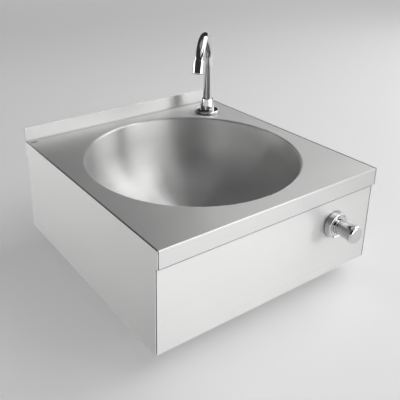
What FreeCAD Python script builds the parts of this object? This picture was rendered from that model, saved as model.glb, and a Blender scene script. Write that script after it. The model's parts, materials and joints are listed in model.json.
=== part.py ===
import FreeCAD, Part
import math
import os
import Sketcher
from FreeCAD import Placement, Rotation, Vector

# Wall-hung hand wash sink with a knee-pushed valve and a swivelling swan-neck spout, in millimetres.
# +Z is up, the wall is the plane Y = 0 and the front looks along -Y. The origin lies on the wall,
# midway between the two screws of the wall bracket.

SIZES = {
    # sheet-metal body
    "sink_width": 400.0,
    "sink_depth": 400.0,
    "deck_level": 52.0,        # top of the deck above the bracket's screws
    "skirt_height": 156.0,     # top of the deck to the bottom edge of the panels
    "sheet": 1.2,
    "seam": 1.2,               # open seam beside the side panels
    "edge_radius": 1.5,
    "upstand_height": 26.0,
    "upstand_thick": 2.4,
    "upstand_edge_radius": 1.1,
    "cove_radius": 2.0,
    "drop_height": 27.0,
    "panel_inset": 4.8,        # front panel behind the face of the drop
    "rear_inset": 5.0,
    "drop_return": 7.0,
    "ledge_width": 12.0,
    "panel_side_flange": 4.0,
    "rear_flange_width": 18.0,
    "lower_hole_radius": 3.25,
    "lower_hole_inset": 10.0,
    "lower_hole_rise": 18.0,
    # bowl
    "bowl_radius": 170.0,
    "bowl_depth": 125.0,         # the bowl stands in the middle of the deck
    "bowl_corner_radius": 80.0,
    "bowl_fall": 9.5,
    "lip_radius": 3.0,
    "lip_width": 4.0,
    "lip_depth": 10.0,
    "seat_radius": 34.0,
    "seat_drop": 3.0,
    "drain_hole_radius": 23.0,
    # wall fixing
    "bracket_length": 240.0,
    "bracket_sheet": 2.0,
    "bracket_half_height": 18.0,
    "bracket_step": 6.0,
    "bracket_lip": 14.0,
    "bracket_hole_spacing": 200.0,
    "bracket_hole_radius": 3.25,
    "hanger_sheet": 2.0,
    "hanger_reach": 22.0,
    "hanger_play": 0.8,
    # waste
    "waste_tube_radius": 20.95,
    "waste_bore_radius": 17.5,
    "waste_neck_radius": 21.6,   # upper thread, under the nut
    "waste_length": 60.0,
    "waste_thread": 40.0,        # lower thread, for the trap
    "waste_flange_radius": 31.5,
    "waste_flange_thick": 2.4,
    "waste_edge_radius": 1.0,
    "ring_play": 0.2,          # loose rings and washers round their shafts
    "ring_margin": 1.0,        # rings kept back from the edge of their flange
    "grid_radius": 25.8,
    "grid_thick": 1.4,
    "grid_play": 0.2,
    "grid_hole_radius": 2.6,
    "grid_ring_radius": 12.0,
    "grid_outer_ring_radius": 20.0,
    "grid_screw_radius": 2.5,
    "grid_screw_head": 4.6,
    "grid_screw_length": 14.0,
    "bridge_width": 8.0,
    "bridge_thick": 4.0,
    "bridge_drop": 8.0,
    "waste_seal_thick": 1.0,
    "waste_lower_seal_thick": 3.0,
    "waste_washer_thick": 1.5,
    "waste_nut_flats": 56.0,
    "waste_nut_thick": 8.0,
    # swan-neck spout
    "tap_bowl_gap": 33.861,    # outside of the bowl to the tap's axis
    "tap_bearing": 45.0,       # of the tap from the bowl's axis, counter-clockwise from +X
    "spout_bearing": -138.5,   # the spout's turn from +X, counter-clockwise seen from above
    "deck_hole_radius": 11.0,
    "base_radius": 21.5,
    "base_thick": 6.0,
    "base_edge_radius": 2.5,
    "base_gasket_thick": 0.8,
    "hub_radius": 13.2,
    "hub_height": 15.5,
    "hub_shoulder_radius": 3.0,
    "cone_top_radius": 10.2,
    "cone_height": 28.0,
    "shank_radius": 10.48,
    "shank_length": 48.0,
    "shank_bore_radius": 6.5,
    "stub_floor": 9.0,
    "running_gap": 0.05,
    "spout_gap": 0.3,
    "tube_radius": 8.5,
    "tube_wall": 1.2,
    "arch_height": 108.0,      # centre of the arch above the deck
    "arch_radius": 48.0,
    "arch_sweep": 160.0,
    "stub_bore_radius": 5.5,
    "stub_spigot": 12.0,
    "ring_section": 2.0,
    "ring_level_low": 17.5,
    "ring_level_high": 23.0,
    "catch_level": 12.0,
    "catch_width": 3.2,
    "catch_depth": 1.2,
    "catch_screw_radius": 1.5,
    "catch_play": 0.2,
    "nozzle_radius": 10.5,
    "nozzle_length": 23.0,
    "nozzle_overlap": 8.0,
    "nozzle_edge_radius": 1.2,
    "nozzle_top_radius": 0.6,
    "nozzle_lip_radius": 6.6,
    "nozzle_lip_thick": 1.5,
    "aerator_washer_thick": 1.5,
    "shank_gasket_thick": 2.0,
    "shank_washer_radius": 17.0,
    "shank_washer_thick": 1.5,
    "shank_nut_flats": 27.0,
    "shank_nut_thick": 7.0,
    # knee-pushed valve, along an axis square to the front panel
    "valve_from_side": 82.0,
    "valve_bowl_gap": 2.2,     # least room between the valve and the bowl
    "valve_below_deck": 70.7,
    "collar_radius": 20.0,
    "collar_thick": 10.2,
    "collar_edge_radius": 2.0,
    "collar_rim": 2.2,
    "collar_dish": 1.6,
    "collar_dish_slope": 1.2,
    "collar_ring_radius": 14.6,
    "collar_ring_rise": 0.9,
    "collar_bore_radius": 11.5,
    "collar_gasket_thick": 0.6,
    "neck_radius": 15.0,
    "neck_length": 6.0,
    "panel_hole_radius": 15.3,
    "valve_gasket_thick": 1.5,
    "valve_nut_flats": 38.0,
    "valve_nut_thick": 5.0,
    "valve_radius": 17.0,
    "valve_shoulder": 10.0,
    "chamber_radius": 9.5,
    "gland_thick": 3.0,
    "gland_seal_thick": 2.0,
    "outlet_chamber": 6.0,
    "seat_thick": 2.0,
    "seat_bore_radius": 5.0,
    "inlet_chamber": 14.0,
    "cap_radius": 12.0,
    "cap_inset": 6.0,
    "cap_flats": 20.0,
    "cap_thick": 4.0,
    "cartridge_length": 4.0,
    "cartridge_play": 0.5,
    "button_tip": 43.0,
    "button_tip_radius": 14.5,
    "button_root_radius": 11.0,
    "button_taper_start": 18.5,
    "button_edge_radius": 4.0,
    "button_tail": 9.0,
    "button_pocket_radius": 8.6,
    "button_pocket_level": 14.0,
    "button_travel": 8.0,
    "button_end_gap": 4.0,     # behind the button when it is pushed in
    "plunger_radius": 3.0,
    "plunger_tail": 4.0,
    "poppet_radius": 6.5,
    "poppet_thick": 2.5,
    "plunger_seal_thick": 2.0,
    "plunger_seal_radius": 8.0,
    "seal_play": 0.3,
    "spring_mean_radius": 6.6,
    "spring_wire_radius": 0.6,
    "inlet_radius": 10.48,
    "inlet_reach": 40.0,
    "inlet_thread": 20.0,
    "inlet_boss_radius": 12.5,
    "inlet_bore_radius": 7.0,
    "check_valve_length": 14.0,
    "check_valve_bore_radius": 2.2,
    "filter_thick": 1.0,
    "filter_bore_radius": 0.8,
    "outlet_radius": 8.3,
    "outlet_reach": 27.0,
    "port_bore_radius": 2.9,
    # rigid supply tube from the valve up to the spout's shank
    "supply_radius": 4.0,
    "supply_wall": 0.8,
    "supply_bend_radius": 25.0,
    "supply_side_gap": 17.0,
    "supply_least_turn": 7.0,   # room for the first bend beyond the union
    "supply_low_level": 112.0,  # below the deck
    "supply_slope_end": 150.0,  # from the wall
    "union_flats": 24.0,
    "union_length": 16.0,
    "union_thread": 8.5,
    "union_seal_thick": 2.0,
    # earthing point on the left panel
    "earth_from_wall": 120.0,
    "earth_below_deck": 132.0,
    "earth_tab_size": 20.0,
    "earth_tab_thick": 1.5,
    "earth_screw_radius": 2.5,
    "earth_screw_length": 12.0,
    "earth_head_flats": 8.0,
    "earth_head_thick": 3.5,
}

SPRING_TURNS = 6
GRID_INNER_COUNT = 8
GRID_OUTER_COUNT = 14
THROUGH = 4       # depth of a cut both ways through a sheet, as a multiple of its thickness
BEND_SHARE = 0.49  # most of a straight run that the bend at one of its ends takes up


class Size:
    """A length known both as a number and as an expression over the sheet's cells."""

    def __init__(self, value, text):
        self.value = float(value)
        self.text = text

    def __add__(self, other):
        other = as_size(other)
        return Size(self.value + other.value, "(%s + %s)" % (self.text, other.text))

    def __sub__(self, other):
        other = as_size(other)
        return Size(self.value - other.value, "(%s - %s)" % (self.text, other.text))

    def __mul__(self, factor):
        return Size(self.value * factor, "(%s * %r)" % (self.text, factor))

    def __truediv__(self, factor):
        return Size(self.value / factor, "(%s / %r)" % (self.text, factor))

    def __neg__(self):
        return Size(-self.value, "(0 - %s)" % self.text)


def as_size(number):
    if isinstance(number, Size):
        return number
    return Size(number, "%r" % float(number))


ZERO = as_size(0)


class Table:
    """The spreadsheet of driving sizes; each size is an attribute."""

    def __init__(self, doc):
        sheet = doc.addObject("Spreadsheet::Sheet", "Sizes")
        for row, (alias, value) in enumerate(SIZES.items(), start=1):
            sheet.set("A%d" % row, alias)
            sheet.set("B%d" % row, str(value))
            sheet.setAlias("B%d" % row, alias)
        doc.recompute()
        for alias in SIZES:
            setattr(self, alias, Size(sheet.get(alias), "Sizes." + alias))


def larger(one, other):
    return Size(max(one.value, other.value), "max(%s; %s)" % (one.text, other.text))


def turned_length(length, angle):
    """The X and Y parts of a length that is turned from +X by an angle."""
    turn = math.radians(angle.value)
    across = Size(length.value * math.cos(turn), "(%s * cos(%s * 1 deg))" % (length.text, angle.text))
    ahead = Size(length.value * math.sin(turn), "(%s * sin(%s * 1 deg))" % (length.text, angle.text))
    return across, ahead


def other_leg(long_side, leg):
    """The second leg of a right triangle, zero where the long side is too short to make one."""
    rest = max(long_side.value ** 2 - leg.value ** 2, 0)
    return Size(math.sqrt(rest), "sqrt(max(pow(%s; 2) - pow(%s; 2); 0))" % (long_side.text, leg.text))


def derive(S):
    """Sizes that follow from others: the bowl's and tap's places and the valve's inner levels."""
    S.bowl_from_wall = S.sink_depth / 2
    reach = S.bowl_radius + S.sheet + S.tap_bowl_gap
    S.tap_x, ahead = turned_length(reach, S.tap_bearing)
    S.tap_y = ahead - S.bowl_from_wall
    S.gland_level = S.button_tail + S.button_travel + S.button_end_gap
    S.seat_level = S.gland_level + S.gland_thick + S.gland_seal_thick + S.outlet_chamber
    S.outlet_level = S.seat_level - S.outlet_chamber / 2
    S.inlet_level = S.seat_level + S.seat_thick + S.inlet_chamber / 2
    S.cap_seat = S.seat_level + S.seat_thick + S.inlet_chamber
    S.valve_length = S.cap_seat + S.cap_inset


# ---------------------------------------------------------------- sketches and features


def origin_plane(body, role):
    return [item for item in body.Origin.OriginFeatures if item.Role == role][0]


def new_body(doc, name):
    body = doc.addObject("PartDesign::Body", name)
    body.Label = name
    return body


def new_sketch(body, role, offset=ZERO, shift=ZERO):
    """A sketch on an origin plane, moved by offset along the plane's normal and by shift along its x."""
    sketch = body.newObject("Sketcher::SketchObject", body.Name + "_sketch")
    sketch.AttachmentSupport = [(origin_plane(body, role), "")]
    sketch.MapMode = "FlatFace"
    sketch.AttachmentOffset = Placement(Vector(shift.value, 0, offset.value), Rotation())
    sketch.setExpression("AttachmentOffset.Base.x", shift.text)
    sketch.setExpression("AttachmentOffset.Base.z", offset.text)
    return sketch


def bind(sketch, kind, *args):
    """Adds a dimension whose last argument is a Size, and binds it to the sheet."""
    size = args[-1]
    index = sketch.addConstraint(Sketcher.Constraint(kind, *args[:-1], size.value))
    sketch.setExpression("Constraints[%d]" % index, size.text)


def pin_point(sketch, geometry, x, y):
    bind(sketch, "DistanceX", -1, 1, geometry, 1, x)
    bind(sketch, "DistanceY", -1, 1, geometry, 1, y)


def unit(vector):
    return vector / vector.Length


def rounded_corner(before, corner, after, radius):
    """Tangent points, centre and turn of the arc that rounds a corner."""
    back = unit(before - corner)
    ahead = unit(after - corner)
    half = back.getAngle(ahead) / 2
    reach = radius / math.tan(half)
    centre = corner + unit(back + ahead) * (radius / math.sin(half))
    left_turn = (corner - before).cross(after - corner).z > 0
    return corner + back * reach, corner + ahead * reach, centre, left_turn


def draw_outline(sketch, corners):
    """Draws a closed outline of straight lines; a corner with a third value is rounded to it."""
    count = len(corners)
    points = [Vector(corner[0].value, corner[1].value, 0) for corner in corners]
    entry = list(points)
    leave = list(points)
    rounding = {}
    for i, corner in enumerate(corners):
        if len(corner) == 3:
            arc = rounded_corner(points[i - 1], points[i], points[(i + 1) % count], corner[2].value)
            entry[i], leave[i] = arc[0], arc[1]
            rounding[i] = arc
    lines = []
    for i in range(count):
        lines.append(sketch.addGeometry(Part.LineSegment(leave[i], entry[(i + 1) % count])))
    for i, corner in enumerate(corners):
        before = lines[i - 1]
        after = lines[i]
        if i not in rounding:
            sketch.addConstraint(Sketcher.Constraint("Coincident", before, 2, after, 1))
            pin_point(sketch, after, corner[0], corner[1])
            continue
        start, end, centre, left_turn = rounding[i]
        first, last = (start, end) if left_turn else (end, start)
        angles = [math.atan2(p.y - centre.y, p.x - centre.x) for p in (first, last)]
        if angles[1] < angles[0]:
            angles[1] += 2 * math.pi
        circle = Part.Circle(centre, Vector(0, 0, 1), corner[2].value)
        arc = sketch.addGeometry(Part.ArcOfCircle(circle, angles[0], angles[1]))
        mark = sketch.addGeometry(Part.Point(points[i]), True)
        pin_point(sketch, mark, corner[0], corner[1])
        sketch.addConstraint(Sketcher.Constraint("PointOnObject", mark, 1, before))
        sketch.addConstraint(Sketcher.Constraint("PointOnObject", mark, 1, after))
        arc_ends = (1, 2) if left_turn else (2, 1)
        sketch.addConstraint(Sketcher.Constraint("Tangent", before, 2, arc, arc_ends[0]))
        sketch.addConstraint(Sketcher.Constraint("Tangent", arc, arc_ends[1], after, 1))
        bind(sketch, "Radius", arc, corner[2])


def draw_circle(sketch, x, y, radius):
    circle = Part.Circle(Vector(x.value, y.value, 0), Vector(0, 0, 1), radius.value)
    index = sketch.addGeometry(circle)
    bind(sketch, "DistanceX", -1, 1, index, 3, x)
    bind(sketch, "DistanceY", -1, 1, index, 3, y)
    bind(sketch, "Radius", index, radius)


def pad(body, sketch, length, symmetric=False):
    feature = body.newObject("PartDesign::Pad", body.Name + "_pad")
    feature.Profile = sketch
    feature.Length = length.value
    feature.setExpression("Length", length.text)
    feature.Midplane = symmetric
    return feature


def pocket_both_ways(body, sketch, length):
    """Cuts the sketch to half the length on each side of its plane."""
    feature = body.newObject("PartDesign::Pocket", body.Name + "_pocket")
    feature.Profile = sketch
    feature.Length = length.value
    feature.setExpression("Length", length.text)
    feature.Midplane = True
    return feature


def revolve(body, sketch):
    feature = body.newObject("PartDesign::Revolution", body.Name + "_turned")
    feature.Profile = sketch
    feature.ReferenceAxis = (sketch, ["V_Axis"])
    feature.Angle = 360
    return feature


def slab(body, low, high):
    """A plain rectangular pad between two corners."""
    sketch = new_sketch(body, "XY_Plane", low[2])
    draw_outline(sketch, [(low[0], low[1]), (high[0], low[1]), (high[0], high[1]), (low[0], high[1])])
    return pad(body, sketch, high[2] - low[2])


def place(part, x, y, z, rotation=Rotation()):
    part.Placement = Placement(Vector(x.value, y.value, z.value), rotation)
    for axis, size in (("x", x), ("y", y), ("z", z)):
        part.setExpression("Placement.Base." + axis, size.text)
    return part


def turned(doc, name, outline):
    """A body turned about its own Z axis from an outline of (radius, height) corners."""
    body = new_body(doc, name)
    sketch = new_sketch(body, "XZ_Plane")
    draw_outline(sketch, outline)
    revolve(body, sketch)
    return body


def ring(doc, name, inner, outer, low, high):
    return turned(doc, name, [(inner, low), (outer, low), (outer, high), (inner, high)])


def set_size(part, name, size):
    setattr(part, name, size.value)
    part.setExpression(name, size.text)


def cylinder(doc, name, radius, low, high):
    part = doc.addObject("Part::Cylinder", name)
    set_size(part, "Radius", radius)
    set_size(part, "Height", high - low)
    place(part, ZERO, ZERO, low)
    return part


def hexagon(doc, name, flats, low, high):
    part = doc.addObject("Part::Prism", name)
    part.Polygon = 6
    set_size(part, "Circumradius", Size(flats.value / math.sqrt(3), "(%s / sqrt(3))" % flats.text))
    set_size(part, "Height", high - low)
    place(part, ZERO, ZERO, low)
    return part


def cut(doc, name, base, tool):
    part = doc.addObject("Part::Cut", name)
    part.Label = name
    part.Base = base
    part.Tool = tool
    return part


def hex_nut(doc, name, flats, bore, low, high):
    blank = hexagon(doc, name + "_blank", flats, low, high)
    return cut(doc, name, blank, cylinder(doc, name + "_bore", bore, low, high))


def union(doc, S, name, thread_radius):
    """A hexagon nut that closes round the tube and its flat seal; the threaded mouth is at height 0."""
    nut = name + "_nut"
    thread_end = -S.union_thread
    seal_end = thread_end - S.union_seal_thick
    blank = hexagon(doc, nut + "_blank", S.union_flats, -S.union_length, ZERO)
    mouth = cylinder(doc, nut + "_mouth", thread_radius, seal_end, ZERO)
    hole = cylinder(doc, nut + "_hole", S.supply_radius, -S.union_length, ZERO)
    opened = cut(doc, nut + "_opened", blank, mouth)
    seal = ring(doc, name + "_seal", S.supply_radius - S.supply_wall, thread_radius, seal_end, thread_end)
    return cut(doc, nut, opened, hole), seal


# ---------------------------------------------------------------- sheet-metal body


def worktop(doc, S):
    body = new_body(doc, "worktop")
    top = S.deck_level
    under = top - S.sheet
    front = -S.sink_depth
    drop_end = top - S.drop_height
    outline = [
        (ZERO, top + S.upstand_height, S.upstand_edge_radius),
        (-S.upstand_thick, top + S.upstand_height, S.upstand_edge_radius),
        (-S.upstand_thick, top, S.cove_radius),
        (front, top, S.edge_radius),
        (front, drop_end, S.edge_radius),
        (front + S.drop_return, drop_end),
        (front + S.drop_return, drop_end + S.sheet),
        (front + S.sheet, drop_end + S.sheet),
        (front + S.sheet, under),
        (ZERO, under),
    ]
    sketch = new_sketch(body, "YZ_Plane")
    draw_outline(sketch, outline)
    pad(body, sketch, S.sink_width - S.sheet * 2 - S.seam * 2, symmetric=True)

    upstand = new_sketch(body, "YZ_Plane")
    draw_outline(upstand, [
        (ZERO, top + S.upstand_height, S.upstand_edge_radius),
        (-S.upstand_thick, top + S.upstand_height, S.upstand_edge_radius),
        (-S.upstand_thick, top),
        (ZERO, top),
    ])
    pad(body, upstand, S.sink_width, symmetric=True)

    holes = new_sketch(body, "XY_Plane", top)
    draw_circle(holes, ZERO, -S.bowl_from_wall, S.bowl_radius + S.lip_width)
    draw_circle(holes, S.tap_x, S.tap_y, S.deck_hole_radius)
    pocket_both_ways(body, holes, S.sheet * THROUGH)

    lip = new_sketch(body, "XZ_Plane", S.bowl_from_wall)
    draw_outline(lip, [
        (S.bowl_radius + S.lip_width, top),
        (S.bowl_radius, top, S.lip_radius),
        (S.bowl_radius, top - S.lip_depth),
        (S.bowl_radius + S.sheet, top - S.lip_depth),
        (S.bowl_radius + S.sheet, under, S.lip_radius - S.sheet),
        (S.bowl_radius + S.lip_width, under),
    ])
    revolve(body, lip)
    return body


def bowl(doc, S):
    floor = S.deck_level - S.bowl_depth
    seat = floor - S.seat_drop
    wall = S.bowl_radius
    body = turned(doc, "bowl", [
        (wall, S.deck_level - S.lip_depth),
        (wall, floor + S.bowl_fall, S.bowl_corner_radius),
        (S.seat_radius, floor),
        (S.seat_radius, seat),
        (S.drain_hole_radius, seat),
        (S.drain_hole_radius, seat - S.sheet),
        (S.seat_radius + S.sheet, seat - S.sheet),
        (S.seat_radius + S.sheet, floor - S.sheet),
        (wall + S.sheet, floor + S.bowl_fall - S.sheet, S.bowl_corner_radius + S.sheet),
        (wall + S.sheet, S.deck_level - S.lip_depth),
    ])
    return place(body, ZERO, -S.bowl_from_wall, ZERO)


def side_panel(doc, S, name, side):
    """A flat panel with a ledge under the deck and flanges at its bottom and rear edges."""
    body = new_body(doc, name)
    top = S.deck_level
    bottom = top - S.skirt_height
    step = top - S.drop_height
    front = -S.sink_depth
    outer = (S.sink_width / 2) * side
    inner = (S.sink_width / 2 - S.sheet) * side

    def across(width):
        """X limits of a flange of this width on the panel's inner face, lowest first."""
        far = (S.sink_width / 2 - S.sheet - width) * side
        return (far, inner) if side > 0 else (inner, far)

    plate = new_sketch(body, "YZ_Plane", inner if side > 0 else outer)
    draw_outline(plate, [
        (ZERO, top),
        (front, top),
        (front, step),
        (front + S.panel_inset, step),
        (front + S.panel_inset, bottom),
        (-S.rear_inset, bottom),
        (-S.rear_inset, step),
        (ZERO, step),
    ])
    pad(body, plate, S.sheet)

    low, high = across(S.ledge_width)
    front_end = front + S.drop_return + S.sheet
    ledge_top = top - S.sheet
    slab(body, (low, front_end, ledge_top - S.sheet), (high, -S.rear_inset, ledge_top))
    slab(body, (low, front_end, bottom), (high, -S.rear_inset - S.sheet, bottom + S.sheet))
    low, high = across(S.rear_flange_width)
    slab(body, (low, -S.rear_inset - S.sheet, bottom), (high, -S.rear_inset, ledge_top - S.sheet))

    hole = new_sketch(body, "XZ_Plane", S.rear_inset)
    draw_circle(hole, (S.sink_width / 2 - S.lower_hole_inset) * side, bottom + S.lower_hole_rise,
                S.lower_hole_radius)
    pocket_both_ways(body, hole, S.sheet * THROUGH)
    return body


def front_panel(doc, S):
    body = new_body(doc, "front_panel")
    top = S.deck_level - S.drop_height
    bottom = S.deck_level - S.skirt_height
    face = -S.sink_depth + S.panel_inset
    back = face + S.sheet
    half = S.sink_width / 2 - S.sheet - S.seam
    slab(body, (-half, face, bottom), (half, back, top))
    inner_half = half - S.ledge_width
    slab(body, (-inner_half, back, bottom), (inner_half, back + S.ledge_width, bottom + S.sheet))
    slab(body, (-inner_half, back, top - S.sheet), (inner_half, back + S.ledge_width, top))
    for low, high in ((-half, -half + S.sheet), (half - S.sheet, half)):
        slab(body, (low, back, bottom + S.sheet * 2), (high, back + S.panel_side_flange, top - S.sheet))
    hole = new_sketch(body, "XZ_Plane", -face)
    valve_x, _, valve_z = valve_axis(S)
    draw_circle(hole, valve_x, valve_z, S.panel_hole_radius)
    pocket_both_ways(body, hole, S.sheet * THROUGH)
    return body


def wall_bracket(doc, S):
    body = new_body(doc, "wall_bracket")
    t = S.bracket_sheet
    low = -S.bracket_half_height
    web = S.bracket_half_height
    lip_back = -S.bracket_step
    sketch = new_sketch(body, "YZ_Plane")
    draw_outline(sketch, [
        (ZERO, low),
        (ZERO, web),
        (lip_back, web),
        (lip_back, web + S.bracket_lip),
        (lip_back - t, web + S.bracket_lip),
        (lip_back - t, web - t),
        (-t, web - t),
        (-t, low),
    ])
    pad(body, sketch, S.bracket_length, symmetric=True)
    holes = new_sketch(body, "XZ_Plane")
    for side in (-1, 1):
        draw_circle(holes, (S.bracket_hole_spacing / 2) * side, ZERO, S.bracket_hole_radius)
    pocket_both_ways(body, holes, t * THROUGH)
    return body


def rear_hanger(doc, S):
    """The angle under the deck whose hanging leg drops behind the bracket's lip."""
    body = new_body(doc, "rear_hanger")
    under = S.deck_level - S.sheet
    leg_front = -S.bracket_step + S.hanger_play
    sketch = new_sketch(body, "YZ_Plane")
    draw_outline(sketch, [
        (leg_front + S.hanger_sheet, under),
        (-S.hanger_reach, under),
        (-S.hanger_reach, under - S.hanger_sheet),
        (leg_front, under - S.hanger_sheet),
        (leg_front, S.bracket_half_height),
        (leg_front + S.hanger_sheet, S.bracket_half_height),
    ])
    pad(body, sketch, S.bracket_length, symmetric=True)
    return body


def earth_point(doc, S):
    x = -S.sink_width / 2 + S.sheet + S.earth_tab_size / 2
    y = -S.earth_from_wall
    z = S.deck_level - S.earth_below_deck
    half = S.earth_tab_size / 2
    tab = new_body(doc, "earth_tab")
    slab(tab, (-half, -half, ZERO), (half, half, S.earth_tab_thick))
    hole = new_sketch(tab, "XY_Plane")
    draw_circle(hole, ZERO, ZERO, S.earth_screw_radius)
    pocket_both_ways(tab, hole, S.earth_tab_thick * THROUGH)
    place(tab, x, y, z)

    stem = cylinder(doc, "earth_stem", S.earth_screw_radius, S.earth_tab_thick - S.earth_screw_length,
                    S.earth_tab_thick)
    head = hexagon(doc, "earth_head", S.earth_head_flats, S.earth_tab_thick,
                   S.earth_tab_thick + S.earth_head_thick)
    screw = doc.addObject("Part::Fuse", "earth_screw")
    screw.Label = "earth_screw"
    screw.Base = stem
    screw.Tool = head
    place(screw, x, y, z)

    nut = hex_nut(doc, "earth_nut", S.earth_head_flats, S.earth_screw_radius, -S.earth_head_thick, ZERO)
    place(nut, x, y, z)
    return [tab, screw, nut]


# ---------------------------------------------------------------- waste


def waste(doc, S):
    """Waste pieces, stacked on the drain seat; height 0 is the top of the seat."""
    neck = S.waste_neck_radius
    loose = neck + S.ring_play
    within = S.waste_flange_radius - S.ring_margin
    flange_low = S.waste_seal_thick
    flange_top = flange_low + S.waste_flange_thick
    grid_low = flange_top - S.grid_thick - S.grid_play
    tail_end = flange_low - S.waste_length
    body = turned(doc, "waste_body", [
        (S.waste_bore_radius, tail_end),
        (S.waste_tube_radius, tail_end),
        (S.waste_tube_radius, tail_end + S.waste_thread),
        (neck, tail_end + S.waste_thread),
        (neck, flange_low),
        (S.waste_flange_radius, flange_low),
        (S.waste_flange_radius, flange_top, S.waste_edge_radius),
        (S.grid_radius + S.grid_play, flange_top),
        (S.grid_radius + S.grid_play, grid_low),
        (S.waste_bore_radius, grid_low),
    ])
    bridge_top = grid_low - S.bridge_drop
    reach = S.waste_bore_radius + (S.waste_tube_radius - S.waste_bore_radius) / 2
    slab(body, (-reach, -S.bridge_width / 2, bridge_top - S.bridge_thick),
         (reach, S.bridge_width / 2, bridge_top))
    tapped = new_sketch(body, "XY_Plane", bridge_top)
    draw_circle(tapped, ZERO, ZERO, S.grid_screw_radius)
    pocket_both_ways(body, tapped, S.bridge_thick * THROUGH)

    grid = strainer_grid(doc, S, grid_low)
    head_top = grid_low + S.grid_thick
    screw = turned(doc, "grid_screw", [
        (ZERO, head_top),
        (S.grid_screw_head, head_top),
        (S.grid_screw_radius, grid_low),
        (S.grid_screw_radius, head_top - S.grid_screw_length),
        (ZERO, head_top - S.grid_screw_length),
    ])
    top_seal = ring(doc, "waste_top_seal", loose, within, ZERO, S.waste_seal_thick)
    under = -S.sheet
    seal_low = under - S.waste_lower_seal_thick
    washer_low = seal_low - S.waste_washer_thick
    seal = ring(doc, "waste_bottom_seal", loose, S.waste_flange_radius, seal_low, under)
    washer = ring(doc, "waste_washer", loose, within, washer_low, seal_low)
    nut = hex_nut(doc, "waste_nut", S.waste_nut_flats, neck, washer_low - S.waste_nut_thick, washer_low)
    pieces = [body, grid, screw, top_seal, seal, washer, nut]
    for piece in pieces:
        place(piece, ZERO, -S.bowl_from_wall, S.deck_level - S.bowl_depth - S.seat_drop)
    return pieces


def strainer_grid(doc, S, low):
    grid = turned(doc, "waste_grid", [
        (ZERO, low),
        (S.grid_radius, low),
        (S.grid_radius, low + S.grid_thick),
        (ZERO, low + S.grid_thick),
    ])
    sink = new_sketch(grid, "XZ_Plane")
    draw_outline(sink, [
        (ZERO, low + S.grid_thick),
        (S.grid_screw_head, low + S.grid_thick),
        (S.grid_screw_radius, low),
        (ZERO, low),
    ])
    groove = grid.newObject("PartDesign::Groove", "waste_grid_countersink")
    groove.Profile = sink
    groove.ReferenceAxis = (sink, ["V_Axis"])
    groove.Angle = 360
    rings = ((S.grid_ring_radius, GRID_INNER_COUNT), (S.grid_outer_ring_radius, GRID_OUTER_COUNT))
    for radius, count in rings:
        sketch = new_sketch(grid, "XY_Plane", low)
        draw_circle(sketch, radius, ZERO, S.grid_hole_radius)
        drilled = pocket_both_ways(grid, sketch, S.grid_thick * THROUGH)
        doc.recompute()
        pattern = grid.newObject("PartDesign::PolarPattern", "waste_grid_pattern")
        pattern.Originals = [drilled]
        pattern.Axis = (sketch, ["N_Axis"])
        pattern.Angle = 360
        pattern.Occurrences = count
        grid.Tip = pattern
    return grid


# ---------------------------------------------------------------- spout


def spout_fixed(doc, S):
    """Base and fixings, stacked on the deck; height 0 is the top of the deck."""
    low = S.base_gasket_thick
    socket = S.tube_radius + S.running_gap
    base = turned(doc, "spout_base", [
        (S.shank_bore_radius, -S.shank_length),
        (S.shank_radius, -S.shank_length),
        (S.shank_radius, low),
        (S.base_radius, low),
        (S.base_radius, low + S.base_thick, S.base_edge_radius),
        (S.hub_radius, low + S.base_thick),
        (S.hub_radius, S.hub_height, S.hub_shoulder_radius),
        (S.cone_top_radius, S.cone_height),
        (socket, S.cone_height),
        (socket, S.stub_floor),
        (S.shank_bore_radius, S.stub_floor),
    ])
    tapped = new_sketch(base, "YZ_Plane")
    draw_circle(tapped, ZERO, S.catch_level, S.catch_screw_radius)
    drilled = base.newObject("PartDesign::Pocket", "spout_base_tapped")
    drilled.Profile = tapped
    set_size(drilled, "Length", S.base_radius)

    loose = S.shank_radius + S.ring_play
    gasket = ring(doc, "base_gasket", loose, S.base_radius - S.ring_margin, ZERO, low)
    under = -S.sheet
    gasket_low = under - S.shank_gasket_thick
    washer_low = gasket_low - S.shank_washer_thick
    nut_low = washer_low - S.shank_nut_thick
    lower = ring(doc, "shank_gasket", loose, S.shank_washer_radius + S.ring_margin, gasket_low, under)
    washer = ring(doc, "shank_washer", loose, S.shank_washer_radius, washer_low, gasket_low)
    nut = hex_nut(doc, "shank_nut", S.shank_nut_flats, S.shank_radius, nut_low, washer_low)

    head = S.hub_radius - S.catch_play
    screw = new_body(doc, "catch_screw")
    section = new_sketch(screw, "YZ_Plane", -head)
    draw_circle(section, ZERO, S.catch_level, S.catch_screw_radius)
    pad(screw, section, head - (S.tube_radius - S.catch_depth + S.catch_play))

    pieces = [base, gasket, lower, washer, nut, screw]
    for piece in pieces:
        stand_tap(S, piece)
    return pieces


def tap_place(S):
    return S.tap_x, S.tap_y, S.deck_level


def stand_tap(S, piece):
    """Stands a spout piece on the deck, turned so that its own +X is the way the spout points."""
    x, y, z = tap_place(S)
    place(piece, x, y, z, Rotation(Vector(0, 0, 1), S.spout_bearing.value))
    piece.setExpression("Placement.Rotation.Angle", S.spout_bearing.text)


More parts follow.
